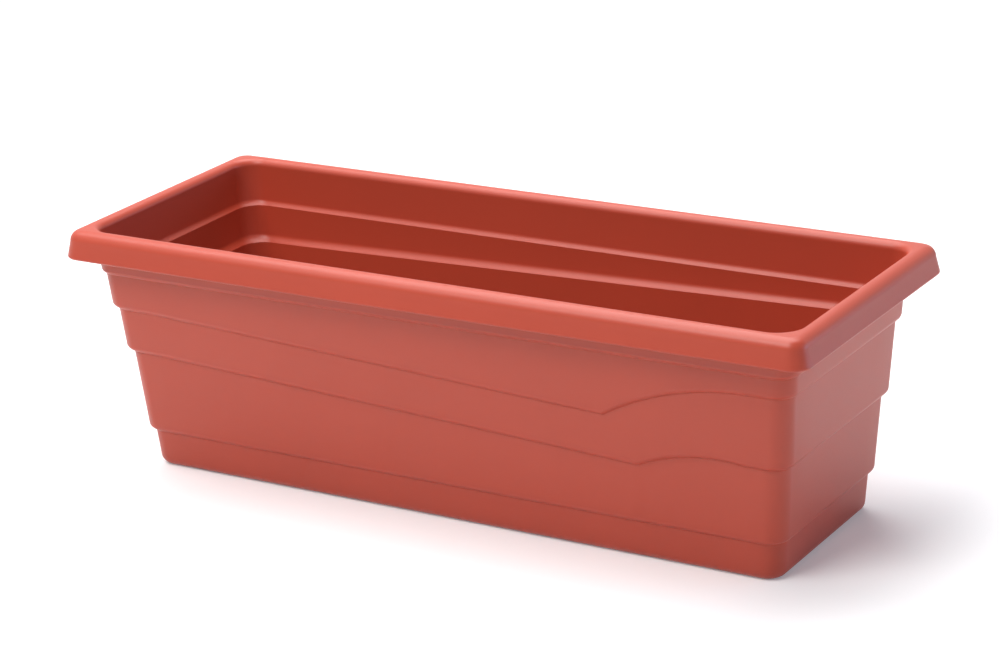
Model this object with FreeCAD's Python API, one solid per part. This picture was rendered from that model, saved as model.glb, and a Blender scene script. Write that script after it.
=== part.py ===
"""Window box planter: a stepped, moulded tub with a rolled rim, a two-piece
drainage grid over its reservoir, and push-in drain plugs in its floor.

Millimetres, +Z up.  The origin is on the ground, in the middle of the foot.
The long front wall looks along -Y, and the arches of its relief are near +X.
"""
import FreeCAD
import Part
import math
import os
from FreeCAD import Vector

# --- Tub -------------------------------------------------------------------
FOOT_LENGTH = 520.0         # along X, at the ground
FOOT_WIDTH = 150.0          # along Y, at the ground
HEIGHT = 190.0              # ground to the crest of the rim
DRAFT = 0.075               # how far a wall leans out for each millimetre of height
WALL = 2.5                  # moulded wall thickness, the same everywhere
CORNER = 14.0               # outer corner radius of the walls, seen from above
FOOT_ROUND = 6.5            # round of the bottom outer edge
FOOT_RING = 14.0            # width of the ring that the tub stands on
FLOOR_RISE = 4.0            # the floor inside the ring is this far off the ground

# --- Steps in the walls: each stands proud of the wall below it -------------
LOW_STEP_Z = 28.0           # level all round
LOW_STEP_OUT = 3.0
MIDDLE_STEP_LEFT_Z = 94.0   # round the left end
MIDDLE_STEP_RIGHT_Z = 86.0  # round the right end
MIDDLE_STEP_OUT = 3.4
UPPER_STEP_LEFT_Z = HEIGHT - 61.0   # the upper step, neck and skirt hang from the crest
UPPER_STEP_RIGHT_Z = HEIGHT - 49.0
UPPER_STEP_OUT = 2.9
NECK_Z = HEIGHT - 35.0      # level all round, just under the rim
NECK_OUT = 2.0
STEP_ROUND = 4.5            # round of each step's lower outer edge
STEP_END_X = 250.0          # past this a step is level, on its way round the end
EASE_RADIUS = 150.0         # bend from a step's slope to its level ends

# --- Arches: at a cusp on the front wall a step turns up into an arc ---------
MIDDLE_CUSP = (159.0, 74.2)     # X and Z
MIDDLE_PEAK = (222.0, 88.6)     # then it sinks to the level of the end
UPPER_CUSP = (138.0, HEIGHT - 79.5)
UPPER_PEAK = (250.0, UPPER_STEP_RIGHT_Z)    # already at the level of the end
ARCH_FOOT_RADIUS = 60.0         # where an arch runs out into a level line

# --- Rim: a rolled top and a skirt that hangs clear of the wall --------------
RIM_REACH = 40.0            # from the foot's outline out to the skirt's lower edge
RIM_SKIRT_Z = HEIGHT - 20.5     # lower edge of the skirt
RIM_FLARE = 2.6             # how far the skirt leans out towards its lower edge
RIM_CORNER = 11.0
RIM_OUTER_ROUND = 7.4
RIM_INNER_ROUND = 5.6

# --- Drain holes and their plugs ---------------------------------------------
DRAIN_HOLE_RADIUS = 6.0
DRAIN_HOLE_X = (-200.0, 0.0, 200.0)
DRAIN_HOLE_Y = (-42.0, 42.0)
PLUG_CLEARANCE = 0.1        # radial, between a plug's stem and its hole
PLUG_HEAD_RADIUS = 11.0
PLUG_HEAD_THICKNESS = 2.0
PLUG_STEM_BELOW = 2.2       # how far the stem reaches below the floor
PLUG_LEAD = 0.8             # bevel round the stem's tip
PLUG_TAB_WIDTH = 11.0
PLUG_TAB_THICKNESS = 2.4
PLUG_TAB_HEIGHT = 5.5

# --- Drainage grid: two plates side by side on the low step -------------------
GRID_THICKNESS = 2.4
GRID_WALL_GAP = 1.2         # between a plate's edge and the wall
GRID_LEDGE_GAP = 0.3        # the feet carry the plate this far off the low step
GRID_SEAM = 1.0             # between the two plates
GRID_CORNER = 12.0
WELL_X = (72.0, 188.0)      # soil wells that are the plate's feet
WELL_HALF = 18.0            # half the width of a well across its foot
WELL_DRAFT = 0.16
WELL_CORNER = 5.0
WELL_WALL = 2.0
WELL_SLOT_WIDTH = 4.0
WELL_SLOT_HEIGHT = 14.0
WELL_SLOT_OFFSET = 7.0      # of a slot from the middle of its wall
SLOT_WIDTH = 4.0
SLOT_LENGTH = 24.0
SLOT_PITCH_X = 14.0
SLOT_ROWS_Y = (-46.0, 0.0, 46.0)
SLOT_CLEAR_OF_WELL = 4.0

FAR = 400.0                 # beyond the tub on every side
FLOOR_TOP = FLOOR_RISE + WALL
LEDGE_TOP = LOW_STEP_Z + WALL
UP = Vector(0, 0, 1)


def outline_corners(half_length, half_width, radius, z):
    """Start, middle and end points of the four corner arcs of a rounded rectangle."""
    x = half_length - radius
    y = half_width - radius
    corners = []
    for centre_x, centre_y, start in ((x, y, 0), (-x, y, 90), (-x, -y, 180), (x, -y, 270)):
        points = []
        for degrees in (start, start + 45, start + 90):
            angle = math.radians(degrees)
            points.append(Vector(centre_x + radius * math.cos(angle),
                                 centre_y + radius * math.sin(angle), z))
        corners.append(points)
    return corners


def outline_edges(corners):
    """Corner arcs and the straight sides between them, in order."""
    edges = []
    for index, points in enumerate(corners):
        following = corners[(index + 1) % len(corners)]
        edges.append(Part.Arc(*points).toShape())
        edges.append(Part.LineSegment(points[-1], following[0]).toShape())
    return edges


def drafted_block(half_length, half_width, radius, bottom_z, top_z, draft):
    """A block with flat leaning sides and conical corners; its sizes are those at bottom_z."""
    out = draft * (top_z - bottom_z)
    low = outline_corners(half_length, half_width, radius, bottom_z)
    high = outline_corners(half_length + out, half_width + out, radius + out, top_z)
    faces = [Part.Face(Part.Wire(outline_edges(low))), Part.Face(Part.Wire(outline_edges(high)))]
    for index, points in enumerate(low):
        above = high[index]
        following = low[(index + 1) % len(low)]
        above_following = high[(index + 1) % len(high)]
        centre = Vector(math.copysign(half_length - radius, points[1].x),
                        math.copysign(half_width - radius, points[1].y), 0)
        faces.append(Part.LineSegment(points[0], above[0]).toShape().revolve(centre, UP, 90))
        side = [points[-1], following[0], above_following[0], above[-1], points[-1]]
        faces.append(Part.Face(Part.makePolygon(side)))
    sewn = Part.makeShell(faces)
    sewn.sewShape()
    return Part.Solid(Part.Shell(Part.makeSolid(sewn).Faces))


def tub_block(reach, radius, bottom_z, top_z):
    """A drafted block whose sides stand `reach` outside the foot's outline at z = 0."""
    out = reach + DRAFT * bottom_z
    return drafted_block(FOOT_LENGTH / 2 + out, FOOT_WIDTH / 2 + out, radius, bottom_z, top_z, DRAFT)


def line(x0, z0, x1, z1):
    """An edge in the XZ plane."""
    return Part.LineSegment(Vector(x0, 0, z0), Vector(x1, 0, z1)).toShape()


def arc(centre_x, centre_z, radius, x0, x1, side):
    """An arc in the XZ plane over x0 to x1, above its centre (side 1) or below it (-1)."""
    points = []
    for x in (x0, (x0 + x1) / 2, x1):
        points.append(Vector(x, 0, centre_z + side * math.sqrt(radius ** 2 - (x - centre_x) ** 2)))
    return Part.Arc(*points).toShape()


def sloping_line(left_x, left_z, right_x, right_z):
    """Level, then straight from one point to the other, then level, with eased bends."""
    angle = math.atan2(right_z - left_z, right_x - left_x)
    turn = EASE_RADIUS * math.tan(abs(angle) / 2)
    along = Vector(turn * math.cos(angle), 0, turn * math.sin(angle))
    side = math.copysign(1.0, angle)
    start = Vector(left_x, 0, left_z) + along
    finish = Vector(right_x, 0, right_z) - along
    level_end = left_x - turn
    level_start = right_x + turn
    return [line(-FAR, left_z, level_end, left_z),
            arc(level_end, left_z + side * EASE_RADIUS, EASE_RADIUS, level_end, start.x, -side),
            Part.LineSegment(start, finish).toShape(),
            arc(level_start, right_z - side * EASE_RADIUS, EASE_RADIUS, finish.x, level_start, side),
            line(level_start, right_z, FAR, right_z)]


def arched_line(cusp, peak, right_z):
    """Level below the cusp, up through it in an arch over the peak, then level at right_z."""
    peak_x, peak_z = peak
    low_z = cusp[1] - ARCH_FOOT_RADIUS
    climb = peak_z - cusp[1]
    radius = ((peak_x - cusp[0]) ** 2 + climb ** 2) / (2 * climb)
    centre_z = peak_z - radius
    reach = radius + ARCH_FOOT_RADIUS

    def foot(level_z):
        """How far from the peak the foot arc turns level, and how far it joins the crown."""
        rise = level_z + ARCH_FOOT_RADIUS - centre_z
        level = math.sqrt(max(reach ** 2 - rise ** 2, 0.0))
        return level, level * radius / reach

    left_level, left_join = foot(low_z)
    edges = [line(-FAR, low_z, peak_x - left_level, low_z),
             arc(peak_x - left_level, low_z + ARCH_FOOT_RADIUS, ARCH_FOOT_RADIUS,
                 peak_x - left_level, peak_x - left_join, -1)]
    if peak_z <= right_z:
        return edges + [arc(peak_x, centre_z, radius, peak_x - left_join, peak_x, 1),
                        line(peak_x, right_z, FAR, right_z)]
    right_level, right_join = foot(right_z)
    return edges + [arc(peak_x, centre_z, radius, peak_x - left_join, peak_x + right_join, 1),
                    arc(peak_x + right_level, right_z + ARCH_FOOT_RADIUS, ARCH_FOOT_RADIUS,
                        peak_x + right_join, peak_x + right_level, -1),
                    line(peak_x + right_level, right_z, FAR, right_z)]


def space_above(edges, y0, y1):
    """The space above a line of edges drawn in XZ, from y0 to y1."""
    top_left = Vector(-FAR, 0, FAR)
    top_right = Vector(FAR, 0, FAR)
    first = edges[0].valueAt(edges[0].FirstParameter)
    last = edges[-1].valueAt(edges[-1].LastParameter)
    closing = [Part.LineSegment(last, top_right).toShape(),
               Part.LineSegment(top_right, top_left).toShape(),
               Part.LineSegment(top_left, first).toShape()]
    face = Part.Face(Part.Wire(edges + closing))
    face.translate(Vector(0, y0, 0))
    return face.extrude(Vector(0, y1 - y0, 0))


def level_step(z):
    """The one part of a step that is level all round: its line and the space it covers in Y."""
    return [([line(-FAR, z, FAR, z)], -FAR, FAR)]


def arched_step(left_z, right_z, cusp, peak):
    """A step that slopes down to a cusp and up an arch in front, and runs straight behind.

    In front it is what lies above both its lines, each rounded by itself.
    """
    slope_end_z = left_z + (cusp[1] - left_z) * 2 * STEP_END_X / (cusp[0] + STEP_END_X)
    slope = sloping_line(-STEP_END_X, left_z, STEP_END_X, slope_end_z)
    back = sloping_line(-STEP_END_X, left_z, STEP_END_X, right_z)
    return [(slope, -FAR, 0), (arched_line(cusp, peak, right_z), -FAR, 0), (back, 0, FAR)]


def steps():
    """For each step from the foot up: its reach and its parts."""
    parts = [(LOW_STEP_OUT, level_step(LOW_STEP_Z)),
             (MIDDLE_STEP_OUT, arched_step(MIDDLE_STEP_LEFT_Z, MIDDLE_STEP_RIGHT_Z,
                                           MIDDLE_CUSP, MIDDLE_PEAK)),
             (UPPER_STEP_OUT, arched_step(UPPER_STEP_LEFT_Z, UPPER_STEP_RIGHT_Z,
                                          UPPER_CUSP, UPPER_PEAK)),
             (NECK_OUT, level_step(NECK_Z))]
    reach = 0.0
    found = []
    for out, step in parts:
        reach += out
        found.append((reach, step))
    return found


def edges_between(shape, is_first, is_second):
    """The edges where a face of one kind meets a face of the other kind."""
    chosen = []
    for edge in shape.Edges:
        faces = shape.ancestorsOfType(edge, Part.Face)
        if len(faces) != 2:
            continue
        a, b = faces
        if (is_first(a) and is_second(b)) or (is_first(b) and is_second(a)):
            chosen.append(edge)
    return chosen


def face_normal(face):
    u0, u1, v0, v1 = face.ParameterRange
    return face.normalAt((u0 + u1) / 2, (v0 + v1) / 2)


def faces_down(face):
    return face_normal(face).z < -0.5


def is_wall(face):
    """A face of the tub's outline, not a face inside it on the plane y = 0."""
    inside = max(abs(v.Point.y) for v in face.Vertexes) < 0.01
    return abs(face_normal(face).z) < 0.5 and not inside


def blend(shape, edges, radius, hidden):
    """Round some edges; hidden ones are bevelled instead, just as deep."""
    if hidden:
        return shape.makeChamfer(radius * (2 - math.sqrt(2)), edges)
    return shape.makeFillet(radius, edges)


def step_band(reach, corner, step, raised, edge_round, hidden):
    """The tub's outline above one step, with the step's lower outer edge rounded."""
    bands = []
    for edges, y0, y1 in step:
        space = space_above(edges, y0, y1)
        space.translate(Vector(0, 0, raised))
        band = tub_block(reach, corner, space.BoundBox.ZMin - 1, HEIGHT).common(space)
        bands.append(blend(band, edges_between(band, faces_down, is_wall), edge_round, hidden))
    if len(bands) == 1:
        return bands[0]
    slope, arched, back = bands
    return slope.common(arched).fuse(back)


def stepped_body(inset, raised, hidden):
    """The tub's stepped form, drawn in by `inset` and with its steps raised."""
    corner = CORNER - inset
    body = tub_block(-inset, corner, raised, HEIGHT)
    for reach, step in steps():
        body = body.fuse(step_band(reach - inset, corner, step, raised, STEP_ROUND - inset, hidden))
    return round_level_loop(body.removeSplitter(), raised, FOOT_ROUND - inset, hidden=hidden)


def round_level_loop(shape, z, radius, outermost=True, hidden=False):
    """Round the outer or the inner loop of edges that lies flat at height z."""
    flat = [f for f in shape.Faces if abs(f.BoundBox.ZMin - z) < 0.01 and abs(f.BoundBox.ZMax - z) < 0.01]
    face = max(flat, key=lambda f: f.Area)
    wires = sorted(face.Wires, key=lambda w: w.BoundBox.XLength)
    wire = wires[-1] if outermost else wires[0]
    return blend(shape, wire.Edges, radius, hidden)


def rim_block(inset, top_z):
    """A solid slab of the rim's outer form, drawn in by `inset`."""
    reach = RIM_REACH - inset
    return drafted_block(FOOT_LENGTH / 2 + reach, FOOT_WIDTH / 2 + reach, RIM_CORNER - inset,
                         RIM_SKIRT_Z, top_z, -RIM_FLARE / (HEIGHT - RIM_SKIRT_Z))


def make_box():
    """The tub: stepped walls of one thickness, rolled rim, raised floor with drain holes."""
    channel = round_level_loop(rim_block(WALL, HEIGHT - WALL), HEIGHT - WALL,
                               RIM_OUTER_ROUND - WALL, hidden=True)
    rim = rim_block(0.0, HEIGHT).cut(channel)
    outside = stepped_body(0.0, 0.0, hidden=False)
    cavity = stepped_body(WALL, WALL, hidden=True)
    box = outside.fuse(rim).cut(cavity)
    half_length = FOOT_LENGTH / 2 - FOOT_RING
    half_width = FOOT_WIDTH / 2 - FOOT_RING
    raised_floor = drafted_block(half_length + WALL, half_width + WALL, CORNER, WALL / 2, FLOOR_TOP, -DRAFT)
    recess = drafted_block(half_length, half_width, CORNER - WALL, -WALL, FLOOR_RISE, -DRAFT)
    box = box.fuse(raised_floor).cut(recess)
    for x in DRAIN_HOLE_X:
        for y in DRAIN_HOLE_Y:
            hole = Part.makeCylinder(DRAIN_HOLE_RADIUS, 2 * FLOOR_TOP, Vector(x, y, 0))
            box = box.cut(hole)
    box = box.removeSplitter()
    box = round_level_loop(box, HEIGHT, RIM_OUTER_ROUND)
    return round_level_loop(box, HEIGHT, RIM_INNER_ROUND, outermost=False)


def make_plug(x, y):
    """A push-in plug: a head on the floor, a stem in the hole and a tab to pull it by."""
    stem_radius = DRAIN_HOLE_RADIUS - PLUG_CLEARANCE
    tip_z = FLOOR_RISE - PLUG_STEM_BELOW
    head_top = FLOOR_TOP + PLUG_HEAD_THICKNESS
    outline = [(0, tip_z), (stem_radius - PLUG_LEAD, tip_z), (stem_radius, tip_z + PLUG_LEAD),
               (stem_radius, FLOOR_TOP), (PLUG_HEAD_RADIUS, FLOOR_TOP), (PLUG_HEAD_RADIUS, head_top),
               (0, head_top), (0, tip_z)]
    profile = Part.Face(Part.makePolygon([Vector(r, 0, z) for r, z in outline]))
    body = profile.revolve(Vector(0, 0, 0), UP, 360)
    tab = Part.makeBox(PLUG_TAB_WIDTH, PLUG_TAB_THICKNESS, PLUG_TAB_HEIGHT,
                       Vector(-PLUG_TAB_WIDTH / 2, -PLUG_TAB_THICKNESS / 2, head_top))
    plug = body.fuse(tab).removeSplitter()
    plug.translate(Vector(x, y, 0))
    return plug


def slot(x, y, length_x, length_y, bottom_z, top_z):
    """A square-ended slot centred on x, y, as the solid that cuts it."""
    return Part.makeBox(length_x, length_y, top_z - bottom_z,
                        Vector(x - length_x / 2, y - length_y / 2, bottom_z))


def well_slots(x):
    """Cuts across a soil well each way, so that each of its walls gets its slots."""
    low_z = FLOOR_TOP + WELL_WALL
    high_z = low_z + WELL_SLOT_HEIGHT
    cuts = []
    for side in (-1, 1):
        offset = side * WELL_SLOT_OFFSET
        cuts.append(slot(x, offset, 3 * WELL_HALF, WELL_SLOT_WIDTH, low_z, high_z))
        cuts.append(slot(x + offset, 0, WELL_SLOT_WIDTH, 3 * WELL_HALF, low_z, high_z))
    return cuts


def plate_slots(half_length, bottom_z, top_z):
    """Rows of slots across the plate, left out round the soil wells."""
    clear = WELL_HALF + WELL_DRAFT * (top_z - FLOOR_TOP) + SLOT_CLEAR_OF_WELL
    cuts = []
    x = SLOT_PITCH_X
    while x < half_length - SLOT_PITCH_X:
        for y in SLOT_ROWS_Y:
            beside_well = any(abs(x - well) < clear for well in WELL_X) and y == 0
            if not beside_well:
                cuts.append(slot(x, y, SLOT_WIDTH, SLOT_LENGTH, bottom_z - 1, top_z + 1))
        x += SLOT_PITCH_X
    return cuts


def make_grid_half():
    """The right-hand plate: slots, and two soil wells that stand on the floor."""
    bottom_z = LEDGE_TOP + GRID_LEDGE_GAP
    top_z = bottom_z + GRID_THICKNESS
    reach = LOW_STEP_OUT + DRAFT * bottom_z - WALL - GRID_WALL_GAP
    half_length = FOOT_LENGTH / 2 + reach
    corners = outline_corners(half_length, FOOT_WIDTH / 2 + reach, GRID_CORNER, bottom_z)
    plate = Part.Face(Part.Wire(outline_edges(corners))).extrude(Vector(0, 0, GRID_THICKNESS))
    plate = plate.common(Part.makeBox(FAR, 2 * FAR, FAR, Vector(GRID_SEAM / 2, -FAR, 0)))
    wells = []
    cuts = plate_slots(half_length, bottom_z, top_z)
    for x in WELL_X:
        well = drafted_block(WELL_HALF, WELL_HALF, WELL_CORNER, FLOOR_TOP, top_z, WELL_DRAFT)
        inside_half = WELL_HALF - WELL_WALL
        inside = drafted_block(inside_half, inside_half, WELL_CORNER - WELL_WALL,
                               FLOOR_TOP + WELL_WALL, top_z + WELL_WALL, WELL_DRAFT)
        well.translate(Vector(x, 0, 0))
        inside.translate(Vector(x, 0, 0))
        wells.append(well)
        cuts.append(inside)
        cuts += well_slots(x)
    return plate.multiFuse(wells).cut(Part.makeCompound(cuts)).removeSplitter()


def main():
    os.makedirs("parts", exist_ok=True)
    grid_right = make_grid_half()
    pieces = {
        "planter_box": make_box(),
        "drainage_grid_right": grid_right,
        "drainage_grid_left": grid_right.mirror(Vector(0, 0, 0), Vector(1, 0, 0)),
    }
    number = 0
    for y in DRAIN_HOLE_Y:
        for x in DRAIN_HOLE_X:
            number += 1
            pieces[f"drain_plug_{number}"] = make_plug(x, y)
    for name, shape in pieces.items():
        box = shape.BoundBox
        print(name, "valid", shape.isValid(), "solids", len(shape.Solids), "faces", len(shape.Faces),
              "volume", round(shape.Volume),
              [round(v, 1) for v in (box.XMin, box.XMax, box.YMin, box.YMax, box.ZMin, box.ZMax)])
        shape.exportStep(f"parts/{name}.step")


main()
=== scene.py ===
"""Window box planter in terracotta-coloured plastic: the stepped tub with its rolled rim,
the two-part drainage grid inside it and the plugs in its floor.

Metres, +Z up, the origin on the ground in the middle of the foot.  The long front wall
looks along -Y.
"""
import math
from collections import namedtuple

import bmesh
import bpy
from mathutils import Matrix, Vector


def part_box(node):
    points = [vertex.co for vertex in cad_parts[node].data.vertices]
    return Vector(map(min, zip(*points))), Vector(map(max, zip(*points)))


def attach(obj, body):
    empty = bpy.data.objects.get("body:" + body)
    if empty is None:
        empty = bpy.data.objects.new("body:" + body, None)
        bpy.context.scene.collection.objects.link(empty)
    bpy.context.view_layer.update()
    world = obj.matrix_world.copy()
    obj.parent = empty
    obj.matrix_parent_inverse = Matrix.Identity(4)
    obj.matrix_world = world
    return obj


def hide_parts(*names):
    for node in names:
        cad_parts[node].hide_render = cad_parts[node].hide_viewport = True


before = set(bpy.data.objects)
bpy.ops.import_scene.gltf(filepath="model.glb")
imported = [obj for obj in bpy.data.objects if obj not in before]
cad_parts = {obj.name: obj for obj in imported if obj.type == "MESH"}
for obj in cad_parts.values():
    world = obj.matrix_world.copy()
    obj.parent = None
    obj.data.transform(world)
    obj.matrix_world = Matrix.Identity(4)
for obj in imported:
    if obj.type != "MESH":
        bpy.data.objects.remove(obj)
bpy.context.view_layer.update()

bl_info = {
    "name": "Window box planter",
    "version": (1, 0, 0),
    "blender": (4, 5, 0),
    "location": "3D View > Sidebar > Planter",
    "description": "Models a stepped window box planter with its drainage grid and plugs",
    "category": "Add Mesh",
}

MM = 0.001
TUB_LOW, TUB_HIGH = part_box("planter_box")
GRID_NODES = ("drainage_grid_left", "drainage_grid_right")
PLUG_NODES = tuple(f"drain_plug_{number}" for number in range(1, 7))

# One ring of edges round the tub: how far it stands outside the foot's outline (before the
# draft is added), its height, its corner radius, and the step that it follows, if any.
Ring = namedtuple("Ring", "reach height corner step")
# One step of the wall.  The end heights are those round the left and right ends; a cusp and
# a peak say where, on the front wall, the step turns up into an arch.
Step = namedtuple("Step", "reach out left right cusp peak nose")
# Where a column of vertices stands: on a side at a fixed place, or at an angle in a corner.
Column = namedtuple("Column", "side along corner angle")


# --- Sizes -----------------------------------------------------------------------------

class TubSizes(bpy.types.PropertyGroup):
    """The moulding's sizes."""
    rim_reach: bpy.props.FloatProperty(
        name="Rim reach", description="From the foot's outline out to the skirt's lower edge",
        default=40 * MM, unit="LENGTH")
    draft: bpy.props.FloatProperty(
        name="Draft", description="How far a wall leans out, as a share of its height",
        default=0.075)
    wall: bpy.props.FloatProperty(
        name="Wall", description="Moulded wall thickness", default=2.5 * MM, unit="LENGTH")
    corner: bpy.props.FloatProperty(
        name="Corner", description="Corner radius of the walls, seen from above",
        default=14 * MM, unit="LENGTH")
    foot_round: bpy.props.FloatProperty(
        name="Foot round", description="Round of the bottom outer edge",
        default=6.5 * MM, unit="LENGTH")
    foot_ring: bpy.props.FloatProperty(
        name="Foot ring", description="Width of the ring that the tub stands on",
        default=14 * MM, unit="LENGTH")
    floor_rise: bpy.props.FloatProperty(
        name="Floor rise", description="How far the floor inside the ring is off the ground",
        default=4 * MM, unit="LENGTH")
    step_nose: bpy.props.FloatProperty(
        name="Step round", description="Round of the lower edge of the three wide steps",
        default=5 * MM, unit="LENGTH")
    neck_nose: bpy.props.FloatProperty(
        name="Neck round", description="Round of the lower edge of the step under the rim",
        default=3.5 * MM, unit="LENGTH")
    skirt_height: bpy.props.FloatProperty(
        name="Skirt height", description="From the ground to the skirt's lower edge",
        default=169.5 * MM, unit="LENGTH")
    rim_flare: bpy.props.FloatProperty(
        name="Rim flare", description="How far the skirt leans out towards its lower edge",
        default=2.6 * MM, unit="LENGTH")
    rim_corner: bpy.props.FloatProperty(
        name="Rim corner", description="Corner radius of the skirt, seen from above",
        default=14 * MM, unit="LENGTH")
    inner_corner: bpy.props.FloatProperty(
        name="Inner corner", description="Corner radius of the inside wall above the grid",
        default=17 * MM, unit="LENGTH")
    crown_corner: bpy.props.FloatProperty(
        name="Crown corner", description="Smallest corner radius on top of the rim",
        default=8 * MM, unit="LENGTH")
    rim_outer_round: bpy.props.FloatProperty(
        name="Rim outer round", description="Round from the skirt to the crest of the rim",
        default=8.6 * MM, unit="LENGTH")
    rim_inner_round: bpy.props.FloatProperty(
        name="Rim inner round", description="Round from the crest of the rim into the mouth",
        default=5.6 * MM, unit="LENGTH")
    drain_hole_radius: bpy.props.FloatProperty(
        name="Drain hole radius", description="Radius of each hole in the floor",
        default=6 * MM, unit="LENGTH")


class Finish(bpy.types.PropertyGroup):
    """Colours of the plastics, as they look in plain light."""
    terracotta: bpy.props.StringProperty(
        name="Terracotta", description="Colour of the tub's plastic, sRGB hex", default="B5442F")
    grid_black: bpy.props.StringProperty(
        name="Grid", description="Colour of the drainage grid, sRGB hex", default="2A2725")
    plug_black: bpy.props.StringProperty(
        name="Plug", description="Colour of the drain plugs, sRGB hex", default="1E1D1C")


class Viewpoint(bpy.types.PropertyGroup):
    """The camera."""
    camera: bpy.props.FloatVectorProperty(
        name="Camera", description="Where the camera stands",
        default=(1.0920, -1.7581, 0.8520), subtype="TRANSLATION")
    target: bpy.props.FloatVectorProperty(
        name="Target", description="The point at the middle of the view",
        default=(0.0044, 0.0, 0.1239), subtype="TRANSLATION")
    roll: bpy.props.FloatProperty(
        name="Roll", description="How far the camera leans to the side",
        default=math.radians(-2.71), subtype="ANGLE")
    lens: bpy.props.FloatProperty(
        name="Lens", description="Focal length in millimetres on a 36 mm film", default=109.9)


# --- The tub's form --------------------------------------------------------------------

STEP_END_X = 250 * MM       # past this a step is level, on its way round the end
ARCH_FOOT_RADIUS = 60 * MM  # where an arch runs out into a level line
ARCH_START_X = 120 * MM     # from here to the right end the columns stand closer together
WIDE_SPACING = 10 * MM
CLOSE_SPACING = 3 * MM
SAME_PLACE = 0.01 * MM      # closer than this, two places on a side are one
CORNER_SEGMENTS = 12
NOSE_SEGMENTS = 7
LEDGE_SEGMENTS = 6
LIP_SEGMENTS = 5
RIM_SEGMENTS = 12
RING_EDGE = 0.8 * MM        # bevel of the foot ring's inner edge
UNDER_STEP = 0.3 * MM       # soft corner where a step's underside meets the wall below
CHANNEL_FILLET = 2 * MM     # where the neck runs into the ceiling of the rim's channel
INNER_LIP = 0.7 * MM        # bevel of the skirt's lower edge, on the inside
OUTER_LIP = 1.5 * MM        # and its round on the outside
ROLL_START_DEGREES = 2      # the leaning skirt meets the rolled rim here
LEDGE_RISE = 0.4 * MM       # an inside ledge is this much taller than the step's round
LEDGE_EDGE_OUT = 0.2 * MM   # the crisp edge where a ledge drops to the wall below
LEDGE_EDGE_DOWN = 0.3 * MM
FLOOR_CORNER_SHARE = 0.2    # how much of the way in the floor's corner radius shrinks
DRILL_DEPTH = 20 * MM


def steps(sizes):
    """The wall's steps from the foot up, each one's reach added to those below it."""
    outs = (3.0 * MM, 3.4 * MM, 2.9 * MM, 2.0 * MM)
    reaches = [sum(outs[:index + 1]) for index in range(len(outs))]
    nose = sizes.step_nose
    return [Step(reaches[0], outs[0], 28 * MM, 28 * MM, None, None, nose),
            Step(reaches[1], outs[1], 92.5 * MM, 85.3 * MM,
                 (160.5 * MM, 72.6 * MM), (223 * MM, 86.8 * MM), nose),
            Step(reaches[2], outs[2], 126.8 * MM, 139 * MM,
                 (138 * MM, 107.4 * MM), (250 * MM, 139 * MM), nose),
            Step(reaches[3], outs[3], 155 * MM, 155 * MM, None, None, sizes.neck_nose)]


def arch_height(step, x):
    """The arch right of the cusp: a crown arc, then a reverse arc down to the end's level."""
    (cusp_x, cusp_z), (peak_x, peak_z) = step.cusp, step.peak
    climb = peak_z - cusp_z
    radius = ((peak_x - cusp_x) ** 2 + climb ** 2) / (2 * climb)
    centre_z = peak_z - radius
    beyond = x - peak_x
    crown = centre_z + math.sqrt(radius ** 2 - beyond ** 2)
    if beyond <= 0:
        return crown
    if peak_z <= step.right:
        return step.right
    reach = radius + ARCH_FOOT_RADIUS
    level = math.sqrt(reach ** 2 - (step.right + ARCH_FOOT_RADIUS - centre_z) ** 2)
    if beyond >= level:
        return step.right
    if beyond > level * radius / reach:
        rise = math.sqrt(ARCH_FOOT_RADIUS ** 2 - (level - beyond) ** 2)
        return step.right + ARCH_FOOT_RADIUS - rise
    return crown


def step_height(step, column):
    """Height of a step at a column: level round the ends, sloping along the long walls."""
    if column.side == "left" or column.corner in ("back_left", "front_left"):
        return step.left
    if column.side == "right" or column.corner in ("back_right", "front_right"):
        return step.right
    x = column.along
    if step.cusp is None:
        return step.left
    if column.side == "back":
        return step.left + (step.right - step.left) * (x + STEP_END_X) / (2 * STEP_END_X)
    cusp_x, cusp_z = step.cusp
    if x > cusp_x:
        return arch_height(step, x)
    return step.left + (cusp_z - step.left) * (x + STEP_END_X) / (cusp_x + STEP_END_X)


def spaced(start, stop, spacing, exact=()):
    """Places from start to stop, about `spacing` apart, with those in `exact` among them."""
    marks = sorted({start, stop, *exact})
    places = [start]
    for low, high in zip(marks, marks[1:]):
        count = max(1, round((high - low) / spacing))
        places += [low + (high - low) * (index + 1) / count for index in range(count)]
    return places


def columns(sizes, half_length, half_width):
    """The columns in order round the tub, anticlockwise from the front left."""
    end_x = half_length - sizes.corner
    end_y = half_width - sizes.corner
    cusps = [step.cusp[0] for step in steps(sizes) if step.cusp]
    front = spaced(-end_x, ARCH_START_X, WIDE_SPACING)[:-1]
    front += spaced(ARCH_START_X, end_x, CLOSE_SPACING, exact=cusps)
    across = spaced(-end_y, end_y, WIDE_SPACING)
    back = spaced(-end_x, end_x, WIDE_SPACING)
    found = []

    def add_corner(name, start_degrees):
        for index in range(1, CORNER_SEGMENTS):
            angle = math.radians(start_degrees + 90 * index / CORNER_SEGMENTS)
            found.append(Column(None, 0.0, name, angle))

    found += [Column("front", x, None, 0.0) for x in front]
    add_corner("front_right", 270)
    found += [Column("right", y, None, 0.0) for y in across]
    add_corner("back_right", 0)
    found += [Column("back", x, None, 0.0) for x in reversed(back)]
    add_corner("back_left", 90)
    found += [Column("left", y, None, 0.0) for y in reversed(across)]
    add_corner("front_left", 180)
    return found


def along_side(along, end, straight):
    """A column's place on a side: its end columns stay where the ring's corners start."""
    if abs(abs(along) - end) < SAME_PLACE or abs(along) > straight:
        return math.copysign(straight, along)
    return along


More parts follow.
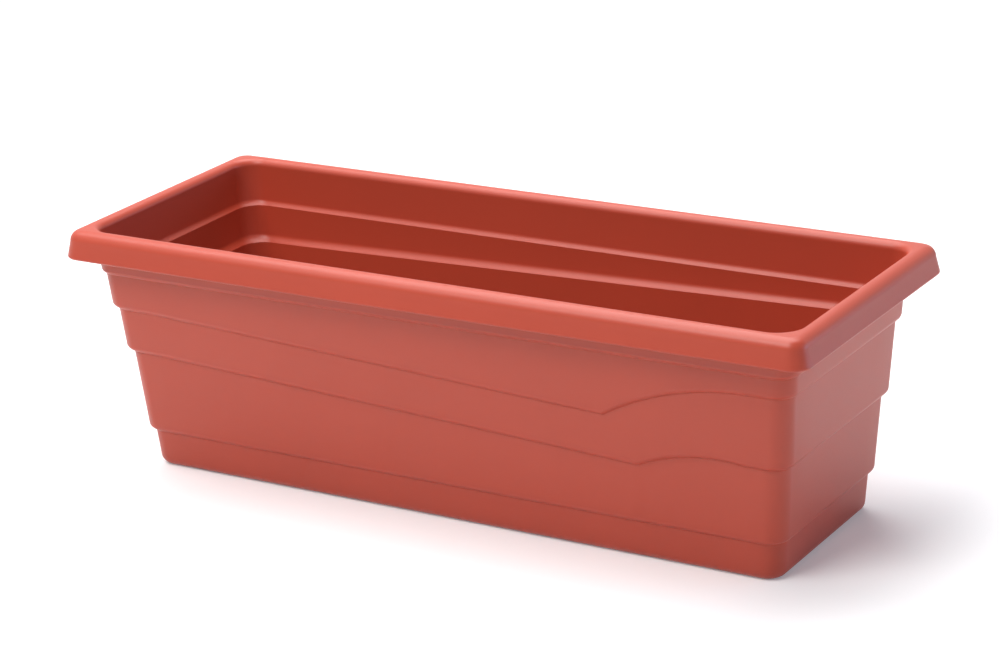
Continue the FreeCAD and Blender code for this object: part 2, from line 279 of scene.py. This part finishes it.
def place(column, ring, sizes, half_length, half_width, all_steps):
    """Where a ring crosses a column."""
    z = ring.height
    if ring.step is not None:
        z += step_height(all_steps[ring.step], column)
    out = ring.reach + sizes.draft * z
    x = half_length + out
    y = half_width + out
    straight_x = x - ring.corner
    straight_y = y - ring.corner
    if column.corner:
        centre_x = straight_x if column.corner.endswith("right") else -straight_x
        centre_y = straight_y if column.corner.startswith("back") else -straight_y
        return Vector((centre_x + ring.corner * math.cos(column.angle),
                       centre_y + ring.corner * math.sin(column.angle), z))
    if column.side in ("front", "back"):
        along = along_side(column.along, half_length - sizes.corner, straight_x)
        return Vector((along, y if column.side == "back" else -y, z))
    along = along_side(column.along, half_width - sizes.corner, straight_y)
    return Vector((x if column.side == "right" else -x, along, z))


def turn(centre_out, centre_z, radius, start_degrees, end_degrees, segments):
    """Points (out, z) along an arc of the section, both ends included."""
    points = []
    for index in range(segments + 1):
        angle = math.radians(start_degrees + (end_degrees - start_degrees) * index / segments)
        points.append((centre_out + radius * math.cos(angle), centre_z + radius * math.sin(angle)))
    return points


def level_ring(sizes, out, z, corner):
    """A level ring, its reach given as it stands at that height."""
    return Ring(out - sizes.draft * z, z, corner, None)


def outside_rings(sizes):
    """From the recess under the floor, round the foot and up the stepped wall."""
    recess = -sizes.foot_ring
    corner = sizes.corner - sizes.wall
    rise = sizes.floor_rise
    rings = [level_ring(sizes, recess - sizes.draft * rise, rise, corner),
             level_ring(sizes, recess, RING_EDGE, corner),
             level_ring(sizes, recess + RING_EDGE, 0.0, corner + RING_EDGE)]
    foot = sizes.foot_round
    for out, z in turn(-foot, foot, foot, -90, 0, NOSE_SEGMENTS):
        rings.append(Ring(out, z, sizes.corner + out, None))
    for index, step in enumerate(steps(sizes)):
        below = step.reach - step.out
        nose = step.nose
        first = math.degrees(math.asin((nose - step.out) / nose)) - 90
        points = turn(step.reach - nose, nose, nose, first, 0, NOSE_SEGMENTS)
        under = points[0][1]
        rings.append(Ring(below, under - UNDER_STEP, sizes.corner, index))
        rings.append(Ring(below + UNDER_STEP / 2, under, sizes.corner, index))
        rings += [Ring(out, z, sizes.corner, index) for out, z in points[1:]]
    return rings


def rim_rings(sizes, top):
    """Up inside the skirt, round its lower edge, and over the rolled rim to the mouth."""
    draft = sizes.draft
    wall = sizes.wall
    low = sizes.skirt_height
    flare = sizes.rim_flare / (top - low)

    def skirt_out(z):
        """The skirt leans out towards its lower edge."""
        return sizes.rim_reach - flare * (z - low)

    def skirt_corner(out):
        """Corners stay parallel to the skirt's, down to the crown's."""
        return max(sizes.rim_corner - sizes.rim_reach + out, sizes.crown_corner)

    neck = steps(sizes)[-1].reach
    ceiling = top - wall
    rings = [Ring(neck, ceiling - CHANNEL_FILLET, sizes.corner, None),
             level_ring(sizes, neck + draft * ceiling + CHANNEL_FILLET, ceiling,
                        sizes.corner + CHANNEL_FILLET)]
    outer = sizes.rim_outer_round
    inside = outer - wall
    section = turn(skirt_out(ceiling) - wall - inside, ceiling - inside, inside, 90, 0,
                   NOSE_SEGMENTS)
    section += [(skirt_out(low) - wall, low + INNER_LIP), (skirt_out(low) - wall + INNER_LIP, low)]
    section += turn(skirt_out(low) - OUTER_LIP, low + OUTER_LIP, OUTER_LIP, -90, 0, LIP_SEGMENTS)
    section += turn(skirt_out(top) - outer, top - outer, outer, ROLL_START_DEGREES, 90,
                    RIM_SEGMENTS)
    rings += [level_ring(sizes, out, z, skirt_corner(out)) for out, z in section]
    inner = sizes.rim_inner_round
    mouth = neck + draft * top - wall
    for out, z in turn(mouth + inner, top - inner, inner, 90, 180, RIM_SEGMENTS):
        rings.append(level_ring(sizes, out, z, sizes.inner_corner + (out - mouth)))
    return rings


def inside_rings(sizes):
    """Down the inside wall, over the back of each step, and across the raised floor."""
    wall = sizes.wall
    rings = []
    for index, step in reversed(list(enumerate(steps(sizes)))):
        corner = sizes.inner_corner if index else sizes.corner - wall
        for part in range(LEDGE_SEGMENTS + 1):
            share = part / LEDGE_SEGMENTS
            rings.append(Ring(step.reach - wall - step.out * share ** 2,
                              (step.nose + LEDGE_RISE) * (1 - share), corner, index))
        rings.append(Ring(step.reach - wall - step.out - LEDGE_EDGE_OUT, -LEDGE_EDGE_DOWN,
                          corner, index))
    floor = sizes.floor_rise + wall
    foot = sizes.foot_round - wall
    for out, z in turn(-wall - foot, wall + foot, foot, 0, -90, NOSE_SEGMENTS):
        rings.append(Ring(out, z, sizes.corner + out, None))
    edge = -sizes.foot_ring + wall
    corner = sizes.corner + edge * FLOOR_CORNER_SHARE
    rings.append(Ring(edge, wall, corner, None))
    rings.append(level_ring(sizes, edge - sizes.draft * floor, floor, corner))
    return rings


# --- Modelling helpers -----------------------------------------------------------------

def deselect_all():
    if bpy.context.object and bpy.context.object.mode != "OBJECT":
        bpy.ops.object.mode_set(mode="OBJECT")
    bpy.ops.object.select_all(action="DESELECT")


def make_active(piece):
    deselect_all()
    piece.select_set(True)
    bpy.context.view_layer.objects.active = piece


def apply_modifiers(piece):
    make_active(piece)
    for modifier in list(piece.modifiers):
        bpy.ops.object.modifier_apply(modifier=modifier.name)


def finish_piece(piece, body, material, sharp_degrees=20):
    """Smooth a piece, give it its material and hand it over."""
    make_active(piece)
    bpy.ops.object.transform_apply(location=True, rotation=True, scale=True)
    bpy.ops.object.shade_smooth_by_angle(angle=math.radians(sharp_degrees))
    piece.data.materials.clear()
    piece.data.materials.append(material)
    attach(piece, body)


# --- Materials -------------------------------------------------------------------------

def linear(hex_colour):
    """An sRGB hex colour as linear RGBA."""
    channels = [int(hex_colour[index:index + 2], 16) / 255 for index in (0, 2, 4)]
    return tuple(c / 12.92 if c <= 0.04045 else ((c + 0.055) / 1.055) ** 2.4
                 for c in channels) + (1.0,)


def add_node(tree, kind, settings=None, links=None):
    """Add a node, set its properties or inputs, and link inputs to other nodes' outputs.

    An input is given by its name, or by its number where several have the same name.
    """
    node = tree.nodes.new(kind)
    for key, value in (settings or {}).items():
        if isinstance(key, int) or key in node.inputs:
            node.inputs[key].default_value = value
        else:
            setattr(node, key, value)
    for key, output in (links or {}).items():
        tree.links.new(output, node.inputs[key])
    return node


def new_material(name):
    material = bpy.data.materials.new(name)
    material.use_nodes = True
    material.node_tree.nodes.clear()
    return material


def background_rays(tree):
    """1 for the rays that see the white background: straight, mirrored or let through."""
    path = add_node(tree, "ShaderNodeLightPath")
    seen = add_node(tree, "ShaderNodeMath", {"operation": "MAXIMUM"},
                    {0: path.outputs["Is Camera Ray"], 1: path.outputs["Is Glossy Ray"]})
    through = add_node(tree, "ShaderNodeMath", {"operation": "MAXIMUM"},
                       {0: seen.outputs[0], 1: path.outputs["Is Transmission Ray"]})
    return through.outputs[0]


MOULD_SHINE = {"IOR": 1.49, "Specular IOR Level": 0.45}
FLOW_SIZE = 90 * MM         # the pigment drifts over about this distance
GRAIN_SIZE = 0.9 * MM       # the real grain is about 0.1 mm; this is the finest that shows
GRAIN_DEPTH = 0.12 * MM


def moulded_plastic(name, colour, roughness, grain, mottle):
    """An injection-moulded polyolefin, coloured through.

    The steel mould was sparked to a fine matt grain, so highlights spread wide, and the
    pigment flows with the melt, so the colour drifts slightly over a few centimetres.
    """
    material = new_material(name)
    tree = material.node_tree
    where = add_node(tree, "ShaderNodeTexCoord").outputs["Object"]
    flow = add_node(tree, "ShaderNodeTexNoise",
                    {"Scale": 1 / FLOW_SIZE, "Detail": 2.0, "Roughness": 0.5}, {"Vector": where})
    base = linear(colour)[:3]
    pale = tuple(min(1.0, c * (1 + mottle)) for c in base) + (1.0,)
    deep = tuple(c * (1 - mottle) for c in base) + (1.0,)
    tint = add_node(tree, "ShaderNodeMix", {"data_type": "RGBA", 6: deep, 7: pale},
                    {0: flow.outputs["Fac"]})
    spark = add_node(tree, "ShaderNodeTexNoise",
                     {"Scale": 1 / GRAIN_SIZE, "Detail": 3.0, "Roughness": 0.6},
                     {"Vector": where})
    bump = add_node(tree, "ShaderNodeBump", {"Strength": grain, "Distance": GRAIN_DEPTH},
                    {"Height": spark.outputs["Fac"]})
    shader = add_node(tree, "ShaderNodeBsdfPrincipled", {"Roughness": roughness, **MOULD_SHINE},
                      {"Base Color": tint.outputs[2], "Normal": bump.outputs["Normal"]})
    add_node(tree, "ShaderNodeOutputMaterial", links={"Surface": shader.outputs["BSDF"]})
    return material


def terracotta_polypropylene(colour):
    """Earth red, even and satin, with a soft pale highlight along every round."""
    return moulded_plastic("terracotta_polypropylene_moulded", colour,
                           roughness=0.38, grain=0.25, mottle=0.05)


def recycled_polypropylene(colour):
    """Reground scrap: a duller black whose tone wanders, with hardly any highlight."""
    return moulded_plastic("black_recycled_polypropylene", colour,
                           roughness=0.55, grain=0.3, mottle=0.10)


def soft_polyethylene(colour):
    """Softer and waxy: a deep, even black with the widest sheen."""
    return moulded_plastic("black_soft_polyethylene", colour,
                           roughness=0.6, grain=0.2, mottle=0.05)


def refinish(node, material):
    """Give a CAD node its material."""
    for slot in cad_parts[node].material_slots:
        slot.material = material


# --- Pieces ----------------------------------------------------------------------------

class PLANTER_OT_tub(bpy.types.Operator):
    """Model the stepped tub with its rolled rim, foot ring and drain holes"""
    bl_idname = "planter.tub"
    bl_label = "Tub"

    def execute(self, context):
        sizes = context.scene.planter_sizes
        top = TUB_HIGH.z
        half_length = TUB_HIGH.x - sizes.rim_reach
        half_width = TUB_HIGH.y - sizes.rim_reach
        all_steps = steps(sizes)
        stations = columns(sizes, half_length, half_width)
        rings = outside_rings(sizes) + rim_rings(sizes, top) + inside_rings(sizes)

        deselect_all()
        bpy.ops.mesh.primitive_circle_add(vertices=len(stations), radius=half_length,
                                          fill_type="NGON")
        tub = context.object
        tub.name = "tub"
        bpy.ops.object.mode_set(mode="EDIT")
        bpy.ops.mesh.select_mode(type="EDGE")
        mesh = bmesh.from_edit_mesh(tub.data)
        number = mesh.verts.layers.int.new("column")
        for index, vertex in enumerate(mesh.verts):
            vertex[number] = index
        bmesh.update_edit_mesh(tub.data)
        # The circle's face stays as the recess's ceiling; its edge is drawn up ring by ring.
        for index, ring in enumerate(rings):
            if index:
                bpy.ops.mesh.extrude_edges_indiv()
            mesh = bmesh.from_edit_mesh(tub.data)
            number = mesh.verts.layers.int["column"]
            for vertex in mesh.verts:
                if vertex.select:
                    vertex.co = place(stations[vertex[number]], ring, sizes,
                                      half_length, half_width, all_steps)
            bmesh.update_edit_mesh(tub.data)
        mesh.verts.layers.int.remove(number)
        bpy.ops.mesh.edge_face_add()
        bpy.ops.mesh.select_all(action="SELECT")
        bpy.ops.mesh.normals_make_consistent(inside=False)
        bpy.ops.object.mode_set(mode="OBJECT")
        self.drill(context, tub, sizes)
        finish_piece(tub, "box",
                     terracotta_polypropylene(context.scene.planter_finish.terracotta))
        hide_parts("planter_box")
        return {"FINISHED"}

    def drill(self, context, tub, sizes):
        """Cut the drain holes, one under each plug."""
        for plug in PLUG_NODES:
            low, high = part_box(plug)
            middle = (low + high) / 2
            deselect_all()
            bpy.ops.mesh.primitive_cylinder_add(
                vertices=48, radius=sizes.drain_hole_radius, depth=DRILL_DEPTH,
                location=(middle.x, middle.y, sizes.floor_rise))
            drill = context.object
            cut = tub.modifiers.new("drain hole", "BOOLEAN")
            cut.operation = "DIFFERENCE"
            cut.solver = "EXACT"
            cut.object = drill
            apply_modifiers(tub)
            bpy.data.objects.remove(drill, do_unlink=True)


class PLANTER_OT_grid(bpy.types.Operator):
    """Finish the two drainage grid plates"""
    bl_idname = "planter.grid"
    bl_label = "Drainage grid"

    def execute(self, context):
        finish = recycled_polypropylene(context.scene.planter_finish.grid_black)
        for node in GRID_NODES:
            refinish(node, finish)
        return {"FINISHED"}


class PLANTER_OT_plugs(bpy.types.Operator):
    """Finish the drain plugs"""
    bl_idname = "planter.plugs"
    bl_label = "Drain plugs"

    def execute(self, context):
        finish = soft_polyethylene(context.scene.planter_finish.plug_black)
        for node in PLUG_NODES:
            refinish(node, finish)
        return {"FINISHED"}


# --- Stage -----------------------------------------------------------------------------

FILM_WIDTH = 36             # millimetres
FLOOR_SIZE = 16.0
FLOOR_GLOW = 0.2            # lifts the paper to white where it is seen, and keeps the shadow
ROOM_LIGHT = 0.14           # the studio's own dim light
TUB_MIDDLE = (0, 0, 0.1)
TUB_END = (0.3, 0, 0.1)


def area_light(name, location, target, size, power, colour):
    """A softbox or card at a place, turned to its target."""
    data = bpy.data.lights.new(name, "AREA")
    data.shape = "RECTANGLE"
    data.size, data.size_y = size
    data.energy = power
    data.color = colour
    light = bpy.data.objects.new(name, data)
    bpy.context.scene.collection.objects.link(light)
    light.location = location
    aim = Vector(target) - Vector(location)
    light.rotation_euler = aim.to_track_quat("-Z", "Y").to_euler()


class PLANTER_OT_stage(bpy.types.Operator):
    """Set the camera, the pale floor and the studio light"""
    bl_idname = "planter.stage"
    bl_label = "Stage"

    def execute(self, context):
        view = context.scene.planter_view
        self.camera(context, view)
        self.floor(context)
        self.light(context)
        context.scene.view_settings.view_transform = "Standard"
        return {"FINISHED"}

    def camera(self, context, view):
        data = bpy.data.cameras.new("camera")
        data.lens = view.lens
        data.sensor_width = FILM_WIDTH
        camera = bpy.data.objects.new("camera", data)
        context.scene.collection.objects.link(camera)
        location = Vector(view.camera)
        ahead = (Vector(view.target) - location).normalized()
        right = ahead.cross(Vector((0, 0, 1))).normalized()
        up = right.cross(ahead)
        leaned_right = right * math.cos(view.roll) + up * math.sin(view.roll)
        leaned_up = up * math.cos(view.roll) - right * math.sin(view.roll)
        turned = Matrix((leaned_right, leaned_up, -ahead)).transposed()
        camera.matrix_world = Matrix.Translation(location) @ turned.to_4x4()
        context.scene.camera = camera

    def floor(self, context):
        deselect_all()
        bpy.ops.mesh.primitive_plane_add(size=FLOOR_SIZE, location=(0, 0, 0))
        floor = context.object
        floor.name = "floor"
        # Matt card: it throws soft light back up and shows no highlight of its own.
        material = new_material("white_paper")
        tree = material.node_tree
        shader = add_node(tree, "ShaderNodeBsdfDiffuse", {"Color": linear("F4F4F4")})
        lift = add_node(tree, "ShaderNodeMath", {"operation": "MULTIPLY", 1: FLOOR_GLOW},
                        {0: background_rays(tree)})
        glow = add_node(tree, "ShaderNodeEmission", {"Color": (0.90, 0.95, 1.0, 1)},
                        {"Strength": lift.outputs[0]})
        both = add_node(tree, "ShaderNodeAddShader",
                        links={0: shader.outputs[0], 1: glow.outputs[0]})
        add_node(tree, "ShaderNodeOutputMaterial", links={"Surface": both.outputs[0]})
        floor.data.materials.append(material)

    def light(self, context):
        world = bpy.data.worlds.new("studio")
        context.scene.world = world
        world.use_nodes = True
        tree = world.node_tree
        tree.nodes.clear()
        room = add_node(tree, "ShaderNodeBackground",
                        {"Color": linear("E8EEF6"), "Strength": ROOM_LIGHT})
        white = add_node(tree, "ShaderNodeBackground", {"Color": (1, 1, 1, 1), "Strength": 1.0})
        mix = add_node(tree, "ShaderNodeMixShader", links={
            0: background_rays(tree), 1: room.outputs[0], 2: white.outputs[0]})
        add_node(tree, "ShaderNodeOutputWorld", links={"Surface": mix.outputs[0]})
        area_light("top softbox", (-0.5, 0.3, 2.0), TUB_MIDDLE, (2.2, 1.8), 62, (1.0, 1.0, 1.0))
        area_light("front softbox", (-0.6, -1.8, 2.3), TUB_MIDDLE, (1.6, 1.1), 46,
                   (1.0, 0.99, 0.97))
        area_light("end card", (2.4, 1.3, 0.4), TUB_END, (1.8, 1.0), 20, (0.50, 0.66, 1.0))


# --- Panel -----------------------------------------------------------------------------

class PLANTER_PT_panel(bpy.types.Panel):
    """The planter's pieces, in the order they are made"""
    bl_label = "Window box planter"
    bl_idname = "PLANTER_PT_panel"
    bl_space_type = "VIEW_3D"
    bl_region_type = "UI"
    bl_category = "Planter"

    def draw(self, context):
        for operator in OPERATORS:
            self.layout.operator(operator.bl_idname)


OPERATORS = (PLANTER_OT_tub, PLANTER_OT_grid, PLANTER_OT_plugs, PLANTER_OT_stage)
CLASSES = (TubSizes, Finish, Viewpoint) + OPERATORS + (PLANTER_PT_panel,)


def register():
    for cls in CLASSES:
        bpy.utils.register_class(cls)
    bpy.types.Scene.planter_sizes = bpy.props.PointerProperty(type=TubSizes)
    bpy.types.Scene.planter_finish = bpy.props.PointerProperty(type=Finish)
    bpy.types.Scene.planter_view = bpy.props.PointerProperty(type=Viewpoint)


def unregister():
    del bpy.types.Scene.planter_view
    del bpy.types.Scene.planter_finish
    del bpy.types.Scene.planter_sizes
    for cls in reversed(CLASSES):
        bpy.utils.unregister_class(cls)


def main():
    register()
    bpy.ops.planter.stage()
    bpy.ops.planter.tub()
    bpy.ops.planter.grid()
    bpy.ops.planter.plugs()


if __name__ == "__main__":
    main()
